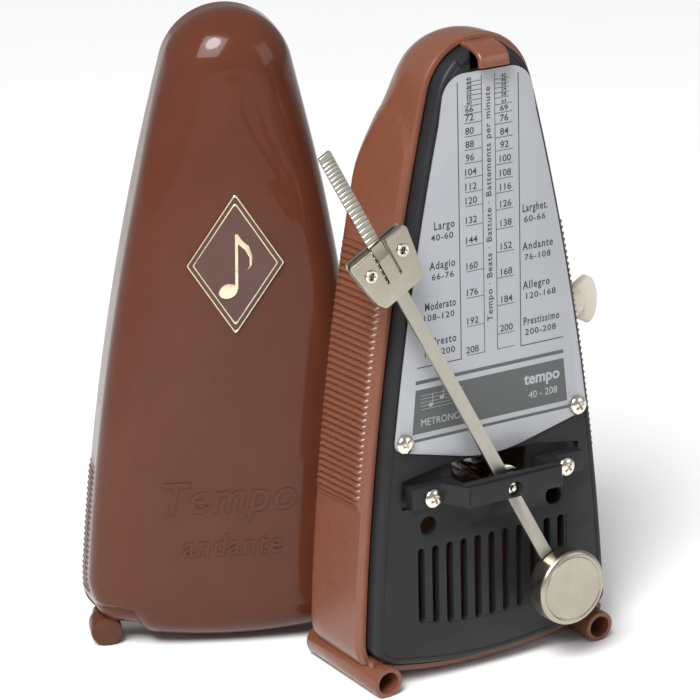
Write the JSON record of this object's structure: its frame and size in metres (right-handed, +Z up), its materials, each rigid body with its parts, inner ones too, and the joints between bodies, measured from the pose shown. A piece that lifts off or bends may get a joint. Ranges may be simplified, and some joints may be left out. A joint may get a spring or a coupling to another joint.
{
  "type": "metronome",
  "caption": "Small wind-up metronome with a swinging pendulum, sliding weight, winding key and a lift-off front cover standing beside it.",
  "frame": {"origin": "bottom centre of the bounding box, on the surface it stands on", "axes": "+Z up, -Y the dial side of the metronome, +X the winding key side"},
  "size_m": [0.1196, 0.0854, 0.1578],
  "materials": {
    "brown_plastic": "glossy moulded red-brown",
    "black_plastic": "fine-grained black",
    "silver_plate": "brushed, printed scale",
    "nickel": "nickel plate, softly brushed",
    "brass": "machined",
    "steel": "machined",
    "lead": "cast heavy core",
    "ivory_plastic": "smooth ivory"
  },
  "bodies": {
    "case": {"housing_shell": "brown_plastic", "foot_tube_left": "brown_plastic", "foot_tube_right": "brown_plastic", "front_panel": "black_plastic", "scale_plate": "silver_plate", "scale_screw_left": "nickel", "scale_screw_right": "nickel", "bridge": "black_plastic", "bridge_screw_left": "nickel", "bridge_screw_right": "nickel", "movement_plate_left": "brass", "movement_plate_right": "brass", "front_pillar_upper": "steel", "front_pillar_lower": "steel", "rear_bar_upper": "steel", "rear_bar_lower": "steel", "case_screw_left": "nickel", "case_screw_right": "nickel", "case_screw_top": "nickel", "click_post": "steel", "click_spring": "steel"},
    "pendulum": {"pendulum_rod": "nickel", "pendulum_axle": "steel", "pendulum_hub": "nickel", "pallet_fork": "steel", "bob_cap": "nickel", "bob_core": "lead", "bob_rivet": "steel"},
    "sliding_weight": {"weight_front": "nickel", "weight_back": "nickel", "eyelet_left": "nickel", "eyelet_right": "nickel"},
    "winding": {"winding_key": "ivory_plastic", "winding_arbor": "steel", "ratchet_wheel": "steel"},
    "barrel": {"barrel_drum": "brass", "barrel_lid": "brass", "mainspring": "steel"},
    "second_arbor": {"second_wheel": "brass", "second_pinion": "steel"},
    "escape_arbor": {"escape_pinion": "steel", "star_wheel_left": "brass", "star_wheel_right": "brass"},
    "click": {"click": "steel"},
    "front_cover": {"cover_shell": "brown_plastic", "cover_badge": "brass"}
  },
  "joints": [
    {"name": "pendulum_swing", "type": "hinge", "parent": "case", "child": "pendulum", "pos_m": [0.01872, -0.03732, 0.04939], "axis": [0, 0.9978, -0.066], "range_deg": [-5, 63]},
    {"name": "weight_slide", "type": "slide", "parent": "pendulum", "child": "sliding_weight", "axis": [-0.4848, 0.0578, 0.8727], "range_m": [-0.041, 0.02]},
    {"name": "key_wind", "type": "hinge", "parent": "case", "child": "winding", "pos_m": [0.03872, -0.01256, 0.08292], "axis": [1, 0, 0], "continuous": true},
    {"name": "barrel_turn", "type": "hinge", "parent": "case", "child": "barrel", "pos_m": [0.01872, -0.01256, 0.08292], "axis": [1, 0, 0], "continuous": true},
    {"name": "second_turn", "type": "hinge", "parent": "case", "child": "second_arbor", "pos_m": [0.01872, -0.01188, 0.07094], "axis": [1, 0, 0], "continuous": true},
    {"name": "escape_turn", "type": "hinge", "parent": "case", "child": "escape_arbor", "pos_m": [0.01872, -0.01399, 0.06168], "axis": [1, 0, 0], "continuous": true},
    {"name": "click_lift", "type": "hinge", "parent": "case", "child": "click", "pos_m": [0.03352, -0.00504, 0.09045], "axis": [-1, 0, 0], "range_deg": [0, 12], "stiffness_Nm_per_rad": 0.001, "springref_deg": -11.46},
    {"name": "cover_lift", "type": "slide", "parent": "case", "child": "front_cover", "axis": [0, 0.6, 0.8], "range_m": [0, 0.15]}
  ],
  "couplings": [
    {"joint": "second_turn", "follows": "barrel_turn", "ratio": -4},
    {"joint": "escape_turn", "follows": "barrel_turn", "ratio": 15}
  ]
}
